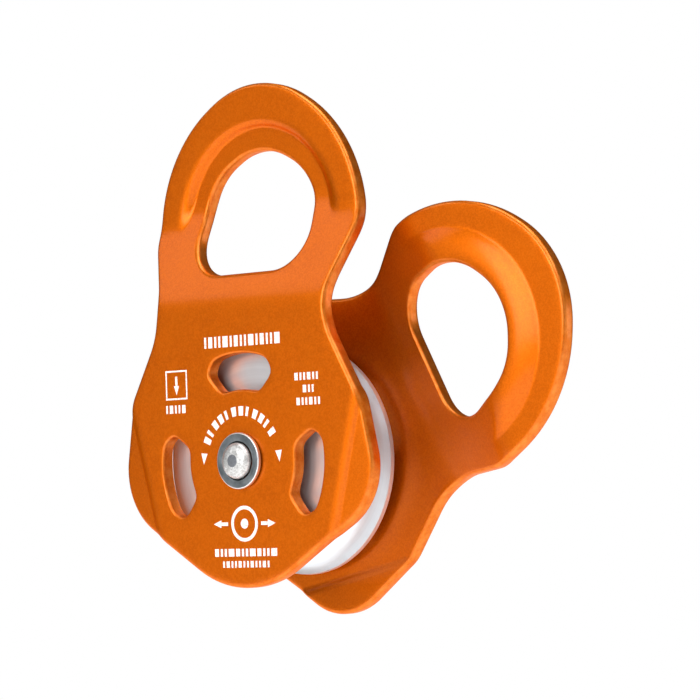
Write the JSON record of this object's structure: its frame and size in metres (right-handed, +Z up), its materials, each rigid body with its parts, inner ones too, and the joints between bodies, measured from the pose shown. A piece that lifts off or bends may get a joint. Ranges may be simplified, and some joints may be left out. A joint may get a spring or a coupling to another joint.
{
  "type": "rope pulley",
  "caption": "Swing-cheek rope pulley: two pressed side plates with carabiner eyes turn on a riveted axle and open to take a rope over the grooved sheave.",
  "frame": {"origin": "centre of the front plate's carabiner eye, on the sheave's middle plane", "axes": "+Z up through the front plate's eye as it hangs, +Y along the axle from the front plate to the rear plate, +X to the side that the rear plate swings open"},
  "size_m": [0.0883, 0.0256, 0.0923],
  "materials": {
    "side_plate": "satin orange anodised, fine grain",
    "sheave": "turned, lightly brushed",
    "bush": "sintered bronze, oil filled",
    "thrust_washer": "natural nylon",
    "sleeve": "ground",
    "axle": "stainless, hammered over at the ends",
    "head_washer": "zinc plated, bright edge",
    "marking": null
  },
  "bodies": {
    "front_plate": {"front_side_plate": "side_plate"},
    "rear_plate": {"rear_side_plate": "side_plate"},
    "axle": {"axle_pin": "axle", "axle_sleeve": "sleeve", "front_head_washer": "head_washer", "rear_head_washer": "head_washer", "front_thrust_washer": "thrust_washer", "rear_thrust_washer": "thrust_washer"},
    "sheave": {"sheave": "sheave", "front_bush": "bush", "rear_bush": "bush"}
  },
  "joints": [
    {"name": "rear_plate_swing", "type": "hinge", "parent": "front_plate", "child": "rear_plate", "pos_m": [0, 0, -0.04], "axis": [0, 1, 0], "continuous": true},
    {"name": "axle_turn", "type": "hinge", "parent": "front_plate", "child": "axle", "pos_m": [0, 0, -0.04], "axis": [0, 1, 0], "continuous": true},
    {"name": "sheave_spin", "type": "hinge", "parent": "axle", "child": "sheave", "pos_m": [0, 0, -0.04], "axis": [0, 1, 0], "continuous": true}
  ]
}
